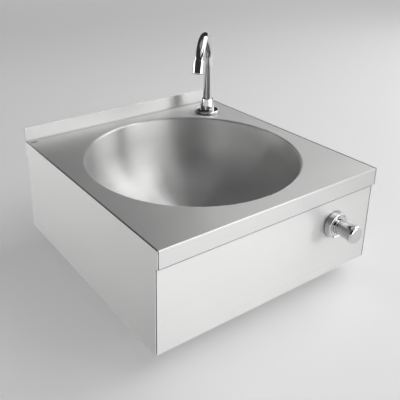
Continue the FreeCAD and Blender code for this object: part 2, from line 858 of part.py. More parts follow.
def spout_moving(doc, S):
    """The swan neck and what turns with it; height 0 is the top of the deck."""
    start = S.cone_height + S.spout_gap
    bore = S.tube_radius - S.tube_wall
    stub = swivel_stub(doc, S, start, bore)

    seals = swivel_seals(doc, S)
    tube = new_body(doc, "spout_tube")
    centre = Vector(S.arch_radius.value, S.arch_height.value, 0)
    sweep = math.radians(S.arch_sweep.value)
    spine = new_sketch(tube, "XZ_Plane")
    line = spine.addGeometry(Part.LineSegment(Vector(0, start.value, 0), Vector(0, centre.y, 0)))
    bend = Part.Circle(centre, Vector(0, 0, 1), S.arch_radius.value)
    arc = spine.addGeometry(Part.ArcOfCircle(bend, math.pi - sweep, math.pi))
    pin_point(spine, line, ZERO, start)
    spine.addConstraint(Sketcher.Constraint("Vertical", line))
    spine.addConstraint(Sketcher.Constraint("Tangent", line, 2, arc, 2))
    bind(spine, "Radius", arc, S.arch_radius)
    bind(spine, "DistanceY", -1, 1, arc, 3, S.arch_height)
    end = arc_end(S)
    down = Vector(math.sin(sweep), math.cos(sweep), 0)
    tail = spine.addGeometry(Part.LineSegment(end, end + down * S.nozzle_overlap.value))
    spine.addConstraint(Sketcher.Constraint("Tangent", arc, 1, tail, 1))
    bind(spine, "Distance", tail, S.nozzle_overlap)
    ray = spine.addGeometry(Part.LineSegment(centre, end), True)
    spine.addConstraint(Sketcher.Constraint("Coincident", ray, 1, arc, 3))
    spine.addConstraint(Sketcher.Constraint("Coincident", ray, 2, arc, 1))
    rest = 180 - S.arch_sweep.value
    index = spine.addConstraint(Sketcher.Constraint("Angle", ray, math.radians(rest)))
    spine.setExpression("Constraints[%d]" % index, "(180 - %s) * 1 deg" % S.arch_sweep.text)
    section = new_sketch(tube, "XY_Plane", start)
    draw_circle(section, ZERO, ZERO, S.tube_radius)
    draw_circle(section, ZERO, ZERO, bore)
    pipe = tube.newObject("PartDesign::AdditivePipe", "spout_tube_pipe")
    pipe.Profile = section
    pipe.Spine = spine

    for piece in (stub, seals, tube):
        stand_tap(S, piece)
    return [stub, seals, tube] + nozzle(doc, S)


def arc_end(S):
    turn = math.radians(180 - S.arch_sweep.value)
    along = S.arch_radius.value * (1 + math.cos(turn))
    rise = S.arch_height.value + S.arch_radius.value * math.sin(turn)
    return Vector(along, rise, 0)


def swivel_stub(doc, S, start, bore):
    """The brass stub brazed into the tube, grooved for two seal rings and for the catch screw."""
    low = S.stub_floor + S.spout_gap
    outer = S.tube_radius
    groove_floor = outer - S.ring_section + S.running_gap
    corners = [(S.stub_bore_radius, low), (outer, low)]
    grooves = (
        (S.catch_level, S.catch_width, outer - S.catch_depth),
        (S.ring_level_low, S.ring_section, groove_floor),
        (S.ring_level_high, S.ring_section, groove_floor),
    )
    for level, width, floor in grooves:
        corners += [
            (outer, level - width / 2),
            (floor, level - width / 2),
            (floor, level + width / 2),
            (outer, level + width / 2),
        ]
    corners += [
        (outer, start),
        (bore, start),
        (bore, start + S.stub_spigot),
        (S.stub_bore_radius, start + S.stub_spigot),
    ]
    return turned(doc, "swivel_stub", corners)


def swivel_seals(doc, S):
    """Two rubber rings in the stub's grooves, kept as one group."""
    section = S.ring_section - S.running_gap
    centre = S.tube_radius + S.running_gap / 2 - section / 2
    rings = []
    for tag, level in (("low", S.ring_level_low), ("high", S.ring_level_high)):
        part = doc.addObject("Part::Torus", "swivel_seal_" + tag)
        set_size(part, "Radius1", centre)
        set_size(part, "Radius2", section / 2 - S.running_gap / 2)
        place(part, ZERO, ZERO, level)
        rings.append(part)
    group = doc.addObject("Part::Compound", "swivel_seals")
    group.Label = "swivel_seals"
    group.Links = rings
    return group


def nozzle(doc, S):
    """Sleeve, washer and aerator round the tube's straight end; height 0 is the end of the arch."""
    bottom = -S.nozzle_length
    tube_end = -S.nozzle_overlap
    bore = S.tube_radius
    sleeve = turned(doc, "nozzle_sleeve", [
        (bore, ZERO),
        (S.nozzle_radius, ZERO, S.nozzle_top_radius),
        (S.nozzle_radius, bottom, S.nozzle_edge_radius),
        (S.nozzle_lip_radius, bottom),
        (S.nozzle_lip_radius, bottom + S.nozzle_lip_thick),
        (bore, bottom + S.nozzle_lip_thick),
    ])
    aerator_low = bottom + S.nozzle_lip_thick
    aerator_top = tube_end - S.aerator_washer_thick
    step = S.tube_wall
    insert = turned(doc, "aerator_insert", [
        (ZERO, aerator_low + step),
        (S.nozzle_lip_radius - step, aerator_low + step),
        (S.nozzle_lip_radius - step, aerator_low),
        (bore, aerator_low),
        (bore, aerator_top),
        (ZERO, aerator_top),
    ])
    washer = ring(doc, "aerator_washer", S.stub_bore_radius, bore, aerator_top, tube_end)
    end = arc_end(S)
    tilt = Rotation(Vector(0, 1, 0), S.arch_sweep.value - 180)
    bearing = Rotation(Vector(0, 0, 1), S.spout_bearing.value)
    x, y, z = tap_place(S)
    base = Vector(x.value, y.value, z.value) + bearing.multVec(Vector(end.x, 0, end.y))
    for piece in (sleeve, insert, washer):
        piece.Placement = Placement(base, bearing * tilt)
    return [sleeve, insert, washer]


# ---------------------------------------------------------------- valve


def valve_axis(S):
    """Where the valve's axis meets the front panel: beside the bowl, clear of its wall."""
    face = S.panel_inset - S.sink_depth
    rear = -S.bowl_from_wall - face - S.valve_length
    beside_bowl = other_leg(S.bowl_radius + S.sheet + S.valve_bowl_gap, rear) + S.valve_radius
    return larger(S.sink_width / 2 - S.valve_from_side, beside_bowl), face, S.deck_level - S.valve_below_deck


def lay_valve(S, piece):
    """Lays a piece on the valve's axis: its own +Z points out of the front panel's face."""
    x, y, z = valve_axis(S)
    return place(piece, x, y, z, Rotation(Vector(1, 0, 0), 90))


def valve(doc, S):
    gland_back = -S.gland_level - S.gland_thick
    seat_back = -S.seat_level - S.seat_thick
    body = turned(doc, "valve_body", [
        (S.button_root_radius + S.running_gap, S.neck_length),
        (S.neck_radius, S.neck_length),
        (S.neck_radius, -S.valve_shoulder),
        (S.valve_radius, -S.valve_shoulder),
        (S.valve_radius, -S.valve_length),
        (S.cap_radius, -S.valve_length),
        (S.cap_radius, -S.cap_seat),
        (S.chamber_radius, -S.cap_seat),
        (S.chamber_radius, seat_back),
        (S.seat_bore_radius, seat_back),
        (S.seat_bore_radius, -S.seat_level),
        (S.chamber_radius, -S.seat_level),
        (S.chamber_radius, gland_back),
        (S.plunger_radius + S.running_gap, gland_back),
        (S.plunger_radius + S.running_gap, -S.gland_level),
        (S.button_root_radius + S.running_gap, -S.gland_level),
    ])
    core = S.chamber_radius + (S.valve_radius - S.chamber_radius) / 2
    outlet = new_sketch(body, "YZ_Plane", core)
    draw_circle(outlet, ZERO, -S.outlet_level, S.outlet_radius)
    pad(body, outlet, S.outlet_reach - core)
    boss_end = S.inlet_reach - S.inlet_thread
    for radius, low, high in ((S.inlet_boss_radius, core, boss_end),
                              (S.inlet_radius, boss_end, S.inlet_reach)):
        inlet = new_sketch(body, "XZ_Plane", low)
        draw_circle(inlet, ZERO, -S.inlet_level, radius)
        pad(body, inlet, high - low)
    for role, level, reach in (("YZ_Plane", S.outlet_level, S.outlet_reach),
                               ("XZ_Plane", S.inlet_level, S.inlet_reach)):
        port = new_sketch(body, role, reach)
        draw_circle(port, ZERO, -level, S.port_bore_radius)
        pocket_both_ways(body, port, (reach - S.chamber_radius / 2) * 2)
    seat = new_sketch(body, "XZ_Plane", S.inlet_reach)
    draw_circle(seat, ZERO, -S.inlet_level, S.inlet_bore_radius)
    pocket_both_ways(body, seat, (S.check_valve_length + S.filter_thick) * 2)

    back = -S.sheet
    gasket_low = back - S.valve_gasket_thick
    gasket = ring(doc, "valve_gasket", S.neck_radius + S.ring_play, S.valve_nut_flats / 2, gasket_low, back)
    nut = hex_nut(doc, "valve_nut", S.valve_nut_flats, S.neck_radius, gasket_low - S.valve_nut_thick,
                  gasket_low)
    front_gasket = ring(doc, "collar_gasket", S.neck_radius + S.ring_play,
                        S.collar_radius - S.ring_margin, ZERO, S.collar_gasket_thick)
    dish = S.collar_thick - S.collar_dish
    rim = S.collar_radius - S.collar_rim
    collar = turned(doc, "button_collar", [
        (S.neck_radius, S.collar_gasket_thick),
        (S.collar_radius, S.collar_gasket_thick),
        (S.collar_radius, S.collar_thick, S.collar_edge_radius),
        (rim, S.collar_thick),
        (rim - S.collar_dish_slope, dish),
        (S.collar_ring_radius, dish),
        (S.collar_ring_radius, dish + S.collar_ring_rise),
        (S.collar_bore_radius, dish + S.collar_ring_rise),
        (S.collar_bore_radius, S.neck_length),
        (S.neck_radius, S.neck_length),
    ])
    gland_seal = ring(doc, "gland_seal", S.plunger_radius + S.running_gap, S.chamber_radius,
                      gland_back - S.gland_seal_thick, gland_back)
    cap_low = -S.valve_length - S.cap_thick
    cartridge = ring(doc, "timing_cartridge", S.plunger_radius + S.cartridge_play, S.cap_radius,
                     -S.cap_seat - S.cartridge_length, -S.cap_seat)
    plug = cylinder(doc, "cap_plug", S.cap_radius, -S.valve_length, -S.cap_seat - S.cartridge_length)
    head = hexagon(doc, "cap_head", S.cap_flats, cap_low, -S.valve_length)
    cap = doc.addObject("Part::Fuse", "valve_cap")
    cap.Label = "valve_cap"
    cap.Base = plug
    cap.Tool = head
    pieces = [body, gasket, nut, front_gasket, collar, gland_seal, cartridge, cap] + valve_inlet(doc, S)
    for piece in pieces:
        lay_valve(S, piece)
    return pieces


def valve_inlet(doc, S):
    """Check valve and filter inside the inlet, which points down: -Y of the valve's own frame."""
    mouth = S.inlet_reach
    pieces = []
    spans = (
        ("check_valve", mouth - S.check_valve_length - S.filter_thick, mouth - S.filter_thick,
         S.check_valve_bore_radius),
        ("inlet_filter", mouth - S.filter_thick, mouth, S.filter_bore_radius),
    )
    for name, near, far, bore in spans:
        body = new_body(doc, name)
        sketch = new_sketch(body, "XZ_Plane", near)
        draw_circle(sketch, ZERO, -S.inlet_level, S.inlet_bore_radius)
        draw_circle(sketch, ZERO, -S.inlet_level, bore)
        pad(body, sketch, far - near)
        pieces.append(body)
    return pieces


def push_button(doc, S):
    """The chrome button, its plunger with a seal, and the return spring, at rest."""
    tail = -S.button_tail
    button = turned(doc, "push_button", [
        (ZERO, S.button_tip),
        (S.button_tip_radius, S.button_tip, S.button_edge_radius),
        (S.button_root_radius, S.button_taper_start),
        (S.button_root_radius, tail),
        (S.button_pocket_radius, tail),
        (S.button_pocket_radius, S.button_pocket_level),
        (ZERO, S.button_pocket_level),
    ])
    poppet_top = -S.seat_level - S.seat_thick - S.seal_play - S.plunger_seal_thick
    poppet_low = poppet_top - S.poppet_thick
    tail_end = poppet_low - S.plunger_tail
    plunger = turned(doc, "plunger", [
        (ZERO, S.button_pocket_level),
        (S.plunger_radius, S.button_pocket_level),
        (S.plunger_radius, poppet_top),
        (S.poppet_radius, poppet_top),
        (S.poppet_radius, poppet_low),
        (S.plunger_radius, poppet_low),
        (S.plunger_radius, tail_end),
        (ZERO, tail_end),
    ])
    seal = ring(doc, "plunger_seal", S.plunger_radius, S.plunger_seal_radius, poppet_top,
                poppet_top + S.plunger_seal_thick)
    for piece in (button, plunger, seal):
        lay_valve(S, piece)
    return [button, plunger, seal, return_spring(doc, S)]


def return_spring(doc, S):
    """A coil from the valve's inner ring to the button's pocket, as one tube along arcs of a helix."""
    wire = S.spring_wire_radius.value
    radius = S.spring_mean_radius.value
    low = -S.gland_level.value + wire
    high = S.button_pocket_level.value - wire
    quarters = SPRING_TURNS * 4

    def point(step):
        angle = step * math.pi / 2
        rise = low + (high - low) * step / quarters
        return Vector(radius * math.cos(angle), radius * math.sin(angle), rise)

    arcs = [Part.Arc(point(k), point(k + 0.5), point(k + 1)).toShape() for k in range(quarters)]
    path = Part.Wire(arcs)
    start = Part.Circle(point(0), arcs[0].tangentAt(arcs[0].FirstParameter), wire)
    section = Part.Wire([start.toShape()])
    coil = path.makePipeShell([section], True, False)
    spring = doc.addObject("Part::Feature", "return_spring")
    spring.Label = "return_spring"
    spring.Shape = coil
    return lay_valve(S, spring)


# ---------------------------------------------------------------- supply tube


def supply(doc, S):
    """Rigid tube from the valve's outlet, back beside the bowl and up to the spout's shank."""
    valve_x, valve_y, valve_z = valve_axis(S)
    outlet_x = valve_x.value + S.outlet_reach.value + S.union_seal_thick.value
    outlet_y = valve_y.value + S.outlet_level.value
    union_end = valve_x + S.outlet_reach + S.union_length - S.union_thread
    side_x = larger(S.sink_width / 2 - S.sheet - S.supply_side_gap, union_end + S.supply_least_turn).value
    low_z = S.deck_level.value - S.supply_low_level.value
    tap_x, tap_y, deck = (size.value for size in tap_place(S))
    top_z = deck - S.shank_length.value - S.union_seal_thick.value
    route = [
        Vector(outlet_x, outlet_y, valve_z.value),
        Vector(side_x, outlet_y, valve_z.value),
        Vector(side_x, -S.supply_slope_end.value, low_z),
        Vector(tap_x, tap_y, low_z),
        Vector(tap_x, tap_y, top_z),
    ]
    path = bent_wire(route, S.supply_bend_radius.value)
    outer = swept_tube(path, route[0], Vector(1, 0, 0), S.supply_radius.value)
    inner = swept_tube(path, route[0], Vector(1, 0, 0), S.supply_radius.value - S.supply_wall.value)
    tube = doc.addObject("Part::Feature", "supply_tube")
    tube.Label = "supply_tube"
    tube.Shape = outer.cut(inner)

    shank_x, shank_y, _ = tap_place(S)
    top = union(doc, S, "shank_union", S.shank_radius)
    for piece in top:
        place(piece, shank_x, shank_y, S.deck_level - S.shank_length + S.union_thread)
    side = union(doc, S, "outlet_union", S.outlet_radius)
    facing = Rotation(Vector(0, 1, 0), -90)
    for piece in side:
        place(piece, valve_x + S.outlet_reach - S.union_thread, valve_y + S.outlet_level, valve_z, facing)
    return [tube] + list(top) + list(side)


def bent_wire(route, radius):
    """Straight runs joined by tangent arcs; a run too short for the radius gets a smaller one."""
    edges = []
    last = route[0]
    for before, corner, after in zip(route, route[1:], route[2:]):
        back = unit(before - corner)
        ahead = unit(after - corner)
        half = back.getAngle(ahead) / 2
        shorter = min((before - corner).Length, (after - corner).Length)
        bend = min(radius, BEND_SHARE * shorter * math.tan(half))
        reach = bend / math.tan(half)
        middle = unit(back + ahead)
        centre = corner + middle * (bend / math.sin(half))
        start = corner + back * reach
        end = corner + ahead * reach
        edges.append(Part.LineSegment(last, start).toShape())
        edges.append(Part.Arc(start, centre - middle * bend, end).toShape())
        print("supply bend radius %.1f" % bend)
        last = end
    edges.append(Part.LineSegment(last, route[-1]).toShape())
    return Part.Wire(edges)


def swept_tube(path, start, direction, radius):
    section = Part.Wire([Part.Circle(start, direction, radius).toShape()])
    return path.makePipeShell([section], True, False)


# ---------------------------------------------------------------- document


def build():
    doc = FreeCAD.newDocument("hand_wash_sink")
    S = Table(doc)
    derive(S)
    parts = [
        worktop(doc, S),
        bowl(doc, S),
        side_panel(doc, S, "left_side_panel", -1),
        side_panel(doc, S, "right_side_panel", 1),
        front_panel(doc, S),
        rear_hanger(doc, S),
        wall_bracket(doc, S),
    ]
    parts += earth_point(doc, S)
    parts += waste(doc, S)
    parts += spout_fixed(doc, S)
    parts += spout_moving(doc, S)
    parts += valve(doc, S)
    parts += push_button(doc, S)
    parts += supply(doc, S)
    doc.recompute()
    return doc, parts


def check(doc, parts):
    for item in doc.Objects:
        if "Invalid" in item.State or "Error" in item.State:
            raise RuntimeError("%s failed to build: %s" % (item.Name, item.State))
    for part in parts:
        shape = part.Shape
        if shape.isNull() or not shape.isValid() or not shape.Solids:
            raise RuntimeError("%s has no valid solid" % part.Label)


def export(parts):
    os.makedirs("parts", exist_ok=True)
    for part in parts:
        part.Shape.exportStep(os.path.join("parts", part.Label + ".step"))
        box = part.Shape.BoundBox
        print("%-20s solids %d volume %10.1f  X %.1f..%.1f  Y %.1f..%.1f  Z %.1f..%.1f" % (
            part.Label, len(part.Shape.Solids), part.Shape.Volume,
            box.XMin, box.XMax, box.YMin, box.YMax, box.ZMin, box.ZMax))


document, sub_parts = build()
check(document, sub_parts)
export(sub_parts)
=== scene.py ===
import json
import math

import bmesh
import bpy
from mathutils import Matrix, Vector

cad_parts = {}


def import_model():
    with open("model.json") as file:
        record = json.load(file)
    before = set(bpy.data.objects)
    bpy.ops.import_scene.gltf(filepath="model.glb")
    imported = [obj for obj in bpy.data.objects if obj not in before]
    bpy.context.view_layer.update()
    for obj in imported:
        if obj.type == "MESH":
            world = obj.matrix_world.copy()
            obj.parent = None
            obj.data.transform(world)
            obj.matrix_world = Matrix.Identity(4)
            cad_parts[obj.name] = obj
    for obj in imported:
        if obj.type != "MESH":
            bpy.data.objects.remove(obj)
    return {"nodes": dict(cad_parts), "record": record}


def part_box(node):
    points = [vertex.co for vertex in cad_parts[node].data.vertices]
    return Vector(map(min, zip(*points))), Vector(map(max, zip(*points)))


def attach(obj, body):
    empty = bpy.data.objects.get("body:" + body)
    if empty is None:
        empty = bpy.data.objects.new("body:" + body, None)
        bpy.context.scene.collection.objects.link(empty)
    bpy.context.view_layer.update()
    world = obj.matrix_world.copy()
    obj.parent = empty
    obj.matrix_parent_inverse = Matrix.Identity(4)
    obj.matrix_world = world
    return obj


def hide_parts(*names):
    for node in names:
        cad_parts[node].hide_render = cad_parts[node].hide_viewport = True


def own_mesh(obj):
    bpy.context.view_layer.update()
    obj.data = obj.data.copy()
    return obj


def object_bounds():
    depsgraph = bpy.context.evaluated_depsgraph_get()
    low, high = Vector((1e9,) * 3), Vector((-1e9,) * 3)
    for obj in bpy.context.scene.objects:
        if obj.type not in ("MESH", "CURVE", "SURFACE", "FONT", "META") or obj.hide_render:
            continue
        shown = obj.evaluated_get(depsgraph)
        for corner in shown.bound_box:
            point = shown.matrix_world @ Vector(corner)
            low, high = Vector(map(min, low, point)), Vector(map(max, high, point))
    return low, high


# Looks of the wall-hung hand wash sink, in metres, in the model's own frame: +Z up, wall at Y = 0.

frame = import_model()
nodes = frame["nodes"]
cad_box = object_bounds()

deck_low, deck_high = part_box("worktop")
panel_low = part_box("front_panel")[0]
bowl_low, bowl_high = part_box("bowl")
DECK_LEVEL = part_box("left_side_panel")[1].z
BOWL_AXIS = (bowl_low + bowl_high) / 2

# The photograph's camera, solved from the corners of the sheet-metal body and the bowl's rim.
IMAGE_SIDE = 400.0             # pixels
FOCAL_PIXELS = 583.59
OPTICAL_AXIS = (165.0, 125.0)  # pixel column and row, counted from the top left
CAMERA_AZIMUTH = -34.338       # degrees, 0 looks along +Y
CAMERA_ELEVATION = 20.919
CAMERA_EYE = Vector((-0.51755, -0.88114, 0.42871))
SENSOR_WIDTH = 36.0            # millimetres


# ---------------------------------------------------------------- helpers


MIX_FACTOR, MIX_FIRST, MIX_SECOND, MIX_COLOR = 0, 6, 7, 2   # sockets of a Mix node set to colour
NOISE_SPREAD = (0.25, 0.75)    # a noise seldom leaves this range
WHITE = (1.0, 1.0, 1.0, 1.0)
FLAT = (1.0, 1.0, 0.0)         # keeps X and Y of a vector
ACROSS_X = (0.0, 1.0, 1.0)     # keeps Y and Z


class Material:
    """A node material with a Principled shader and a few helpers for procedural detail."""

    def __init__(self, name, color, metallic=0.0, roughness=0.5, **sockets):
        self.data = bpy.data.materials.new(name)
        self.data.use_nodes = True
        self.tree = self.data.node_tree
        self.shader = self.tree.nodes["Principled BSDF"]
        self.set("Base Color", (*color, 1.0))
        self.set("Metallic", metallic)
        self.set("Roughness", roughness)
        for socket, value in sockets.items():
            self.set(socket.replace("_", " "), value)
        self.data.diffuse_color = (*color, 1.0)

    def set(self, socket, value):
        self.shader.inputs[socket].default_value = value

    def wire(self, socket, value):
        self.tree.links.new(value, self.shader.inputs[socket])

    def feed(self, socket, value):
        """Links a socket to another, or sets its value."""
        if isinstance(value, bpy.types.NodeSocket):
            self.tree.links.new(value, socket)
        else:
            socket.default_value = value

    def add(self, kind, **inputs):
        node = self.tree.nodes.new(kind)
        for name, value in inputs.items():
            self.feed(node.inputs[name.replace("_", " ")], value)
        return node

    def math(self, operation, *values):
        node = self.tree.nodes.new("ShaderNodeMath")
        node.operation = operation
        for socket, value in zip(node.inputs, values):
            self.feed(socket, value)
        return node.outputs[0]

    def vector(self, operation, *values):
        node = self.tree.nodes.new("ShaderNodeVectorMath")
        node.operation = operation
        sockets = (node.inputs[0], node.inputs["Scale"]) if operation == "SCALE" else node.inputs
        for socket, value in zip(sockets, values):
            self.feed(socket, value)
        return node.outputs["Value"] if operation == "LENGTH" else node.outputs["Vector"]

    def place(self):
        """Position on the piece, in metres."""
        return self.add("ShaderNodeTexCoord").outputs["Object"]

    def noise(self, vector, scale=1.0, detail=2.0, roughness=0.5):
        node = self.add("ShaderNodeTexNoise", Vector=vector, Scale=scale, Detail=detail,
                        Roughness=roughness)
        return node.outputs["Fac"]

    def stretched_noise(self, vector, cells, detail=2.0):
        """Noise with its own number of cells per metre along each axis."""
        return self.noise(self.vector("MULTIPLY", vector, cells), detail=detail)

    def ramp(self, value, source, target, interpolation="LINEAR"):
        """Maps the range source onto the range target and stays at its ends beyond them."""
        node = self.add("ShaderNodeMapRange", Value=value)
        node.interpolation_type = interpolation
        for socket, end in zip(("From Min", "From Max", "To Min", "To Max"), (*source, *target)):
            node.inputs[socket].default_value = end
        return node.outputs["Result"]

    def between(self, noise, low=0.0, high=1.0):
        """Stretches a noise to a range."""
        return self.ramp(noise, NOISE_SPREAD, (low, high))

    def mix(self, factor, first, second, blend="MIX"):
        node = self.tree.nodes.new("ShaderNodeMix")
        node.data_type = "RGBA"
        node.blend_type = blend
        self.feed(node.inputs[MIX_FACTOR], factor)
        self.feed(node.inputs[MIX_FIRST], first)
        self.feed(node.inputs[MIX_SECOND], second)
        return node.outputs[MIX_COLOR]

    def tint(self, factor, dark, light):
        return self.mix(factor, (*dark, 1.0), (*light, 1.0))

    def paint_seam_shade(self, color):
        """Paints shade into the colour of narrow gaps, seams and corners, darker where ambient
        occlusion finds them closed in.
        """
        crevice = self.add("ShaderNodeAmbientOcclusion", Color=color, Distance=SEAM_REACH)
        crevice.samples = SEAM_SAMPLES
        painted_shade = self.ramp(crevice.outputs["AO"], SEAM_OPENNESS, (SEAM_SHADE_TONE, 1.0))
        return self.mix(1.0, color, painted_shade, "MULTIPLY")

    def bump(self, height, strength, distance):
        """Adds relief on top of what an earlier call has added."""
        node = self.add("ShaderNodeBump", Height=height, Strength=strength, Distance=distance)
        normal = self.shader.inputs["Normal"]
        if normal.is_linked:
            self.tree.links.new(normal.links[0].from_socket, node.inputs["Normal"])
        self.wire("Normal", node.outputs["Normal"])


def shade(color, factor):
    return tuple(factor * channel for channel in color)


def grey(level):
    return (level, level, level)


def put_in_scene(name, data):
    thing = bpy.data.objects.new(name, data)
    bpy.context.scene.collection.objects.link(thing)
    return thing


def direction(azimuth, elevation):
    """Unit vector away from the object; azimuth 0 is in front, 90 on the right, 180 behind."""
    turn, rise = math.radians(azimuth), math.radians(elevation)
    return Vector((math.sin(turn) * math.cos(rise), -math.cos(turn) * math.cos(rise), math.sin(rise)))


# ---------------------------------------------------------------- materials


# Painted shade: ambient occlusion darkens the brushed steel's colour in gaps, seams and corners.
SEAM_REACH = 0.005             # metres
SEAM_SAMPLES = 12
SEAM_OPENNESS = (0.35, 0.80)   # painted shade: fully dark below the first, unshaded above the second
SEAM_SHADE_TONE = 0.35

ACROSS = 0.25                  # of a turn: highlights stretch across the grain
GRAIN_LENGTH = 9.0             # noise cells per metre along the brushing
GRAIN_FINE = 2600.0            # across it
STREAK_LENGTH = GRAIN_LENGTH / 3
STREAK_WIDTH = 190.0
STREAK_SHARE = 0.55            # of the tone's variation; the fine grain has the rest
GRAIN_TINT = (0.975, 1.015)
GRAIN_ROUGHNESS = 0.012
GRAIN_STRENGTH = 0.03
GRAIN_DEPTH = 0.0001
SMUDGE_CELLS = 14.0

COVE = (0.0, -0.0024, DECK_LEVEL)   # the corner between deck and upstand
COVE_REACH = (0.0012, 0.0040)  # metres from it: fully painted dark and dull, and back to the plain sheet
# Painted shade: how much darker the deck's colour is painted in the cove.
COVE_SHADE_TONE = 0.82
DULL_ROUGHNESS = 0.14

WAVE_RADIUS = 2.2              # noise cells: about fourteen waves go round the bowl
WAVE_DEPTH = 0.0015            # metres, the faint unevenness that pressing leaves in its wall


def finish_brushed(material, grain, streak, tone, roughness, cove_shade_and_dulling=None):
    """Fine grain, wider streaks and faint smudges, in tone, roughness and relief.

    Where the cove mask is 1 the steel is rougher and its colour is painted darker, a painted shade in
    the corner between deck and upstand.
    A sheet with such a corner is even in tone elsewhere.
    """
    lines = material.math("MULTIPLY", material.between(grain), 1.0 - STREAK_SHARE)
    mixed = material.math("MULTIPLY_ADD", material.between(streak), STREAK_SHARE, lines)
    smudge = material.noise(material.place(), SMUDGE_CELLS, 3.0)
    rough = material.math(
        "ADD",
        material.between(mixed, roughness + GRAIN_ROUGHNESS, roughness - GRAIN_ROUGHNESS),
        material.between(smudge, -GRAIN_ROUGHNESS, GRAIN_ROUGHNESS))
    if cove_shade_and_dulling is None:
        metal = material.tint(mixed, *(shade(tone, factor) for factor in GRAIN_TINT))
    else:
        # Painted shade: the colour darkens towards the cove.
        metal = material.tint(cove_shade_and_dulling, tone, shade(tone, COVE_SHADE_TONE))
        rough = material.math("MULTIPLY_ADD", cove_shade_and_dulling, DULL_ROUGHNESS, rough)
    # The colour carries painted shade in seams and corners.
    material.wire("Base Color", material.paint_seam_shade(metal))
    material.wire("Roughness", rough)
    material.bump(grain, GRAIN_STRENGTH, GRAIN_DEPTH)


def brushed_flat(name, along, tone, roughness, anisotropy, cove=False):
    """Sheet brushed in straight lines along X or Y, with or without the deck's cove at the wall."""
    material = Material(name, tone, 1.0, roughness, Anisotropic=anisotropy,
                        Anisotropic_Rotation=ACROSS)
    run = tuple(1.0 if axis == along else 0.0 for axis in "XYZ")
    place = material.place()
    grain = material.stretched_noise(place, [GRAIN_LENGTH if r else GRAIN_FINE for r in run])
    streak = material.stretched_noise(place, [STREAK_LENGTH if r else STREAK_WIDTH for r in run])
    cove_shade_and_dulling = None
    # Near the cove the deck's colour is painted darker, and its finish is made rougher.
    if cove:
        away = material.vector("MULTIPLY", material.vector("SUBTRACT", place, COVE), ACROSS_X)
        cove_shade_and_dulling = material.ramp(material.vector("LENGTH", away), COVE_REACH, (1.0, 0.0))
    finish_brushed(material, grain, streak, tone, roughness, cove_shade_and_dulling)
    tangent = material.add("ShaderNodeCombineXYZ", X=run[0], Y=run[1], Z=run[2])
    material.wire("Tangent", tangent.outputs["Vector"])
    return material.data


def brushed_round(name, axis, tone, roughness, anisotropy):
    """Pressed bowl, brushed in rings round its axis."""
    material = Material(name, tone, 1.0, roughness, Anisotropic=anisotropy,
                        Anisotropic_Rotation=ACROSS)
    offset = material.vector("SUBTRACT", material.place(), (axis.x, axis.y, 0.0))
    outward = material.vector("MULTIPLY", offset, FLAT)
    beside = material.vector("LENGTH", outward)
    height = material.add("ShaderNodeSeparateXYZ", Vector=offset).outputs["Z"]
    ring = material.add("ShaderNodeCombineXYZ", X=beside, Y=height, Z=0.0).outputs["Vector"]
    bearing = material.vector("NORMALIZE", outward)
    waves = material.noise(material.vector("SCALE", bearing, WAVE_RADIUS), detail=1.0)
    material.bump(waves, 1.0, WAVE_DEPTH)
    grain = material.noise(ring, GRAIN_FINE / 2)
    streak = material.noise(ring, STREAK_WIDTH)
    finish_brushed(material, grain, streak, tone, roughness)
    tangent = material.tree.nodes.new("ShaderNodeTangent")
    tangent.direction_type = "RADIAL"
    tangent.axis = "Z"
    material.wire("Tangent", tangent.outputs["Tangent"])
    return material.data


def chrome(name, tone=(0.69, 0.695, 0.70), roughness=0.045, haze_roughness=0.03):
    """Polished plating with faint polishing marks and a breath of haze."""
    material = Material(name, tone, 1.0, roughness)
    place = material.place()
    haze = material.noise(place, scale=60.0, detail=3.0)
    marks = material.stretched_noise(place, cells=(900.0, 900.0, 120.0))
    material.wire("Base Color", material.tint(material.between(haze), shade(tone, 0.97), tone))
    material.wire("Roughness", material.math(
        "ADD", material.between(haze, roughness, roughness + haze_roughness),
        material.between(marks, low=0.0, high=0.01)))
    material.bump(marks, strength=0.02, distance=0.00005)
    return material.data


def rolled_steel(name, tone=(0.50, 0.50, 0.51), roughness=0.42):
    """Plain rolled sheet of the hidden brackets: duller, cloudy, with stray scratches."""
    material = Material(name, tone, 1.0, roughness)
    place = material.place()
    cloud = material.noise(place, scale=45.0, detail=4.0)
    scratch = material.stretched_noise(place, cells=(30.0, 900.0, 900.0))
    material.wire("Base Color", material.tint(material.between(cloud), shade(tone, 0.88),
                                              shade(tone, 1.08)))
    material.wire("Roughness", material.between(scratch, low=0.36, high=0.50))
    material.bump(scratch, strength=0.10, distance=0.0001)
    return material.data


def brass(name, tone=(0.76, 0.56, 0.27), tarnished=(0.58, 0.39, 0.17), roughness=0.26):
    """Machined brass with turning lines and slight tarnish."""
    material = Material(name, tone, 1.0, roughness)
    place = material.place()
    tarnish = material.noise(place, scale=70.0, detail=4.0)
    turned = material.stretched_noise(place, cells=(140.0, 2400.0, 2400.0))
    material.wire("Base Color", material.tint(material.between(tarnish), tarnished, tone))
    material.wire("Roughness", material.between(turned, low=0.20, high=0.34))
    material.bump(turned, strength=0.08, distance=0.0001)
    return material.data


def matte(name, dark, light, roughness, cell, relief, pores_per_cell=12.0, roughness_spread=0.06):
    """Rubber, fibre and plastic: a mottled colour with a fine moulded texture."""
    material = Material(name, light, 0.0, roughness)
    place = material.place()
    mottle = material.noise(place, cell, detail=4.0)
    pores = material.noise(place, cell * pores_per_cell)
    material.wire("Base Color", material.tint(material.between(mottle), dark, light))
    material.wire("Roughness", material.between(pores, roughness - roughness_spread,
                                                roughness + roughness_spread))
    material.bump(pores, relief, distance=0.0002)
    return material.data


STEEL = (0.76, 0.76, 0.755)
DECK_STEEL = shade(STEEL, 0.88)
BOWL_STEEL = shade(STEEL, 1.15)

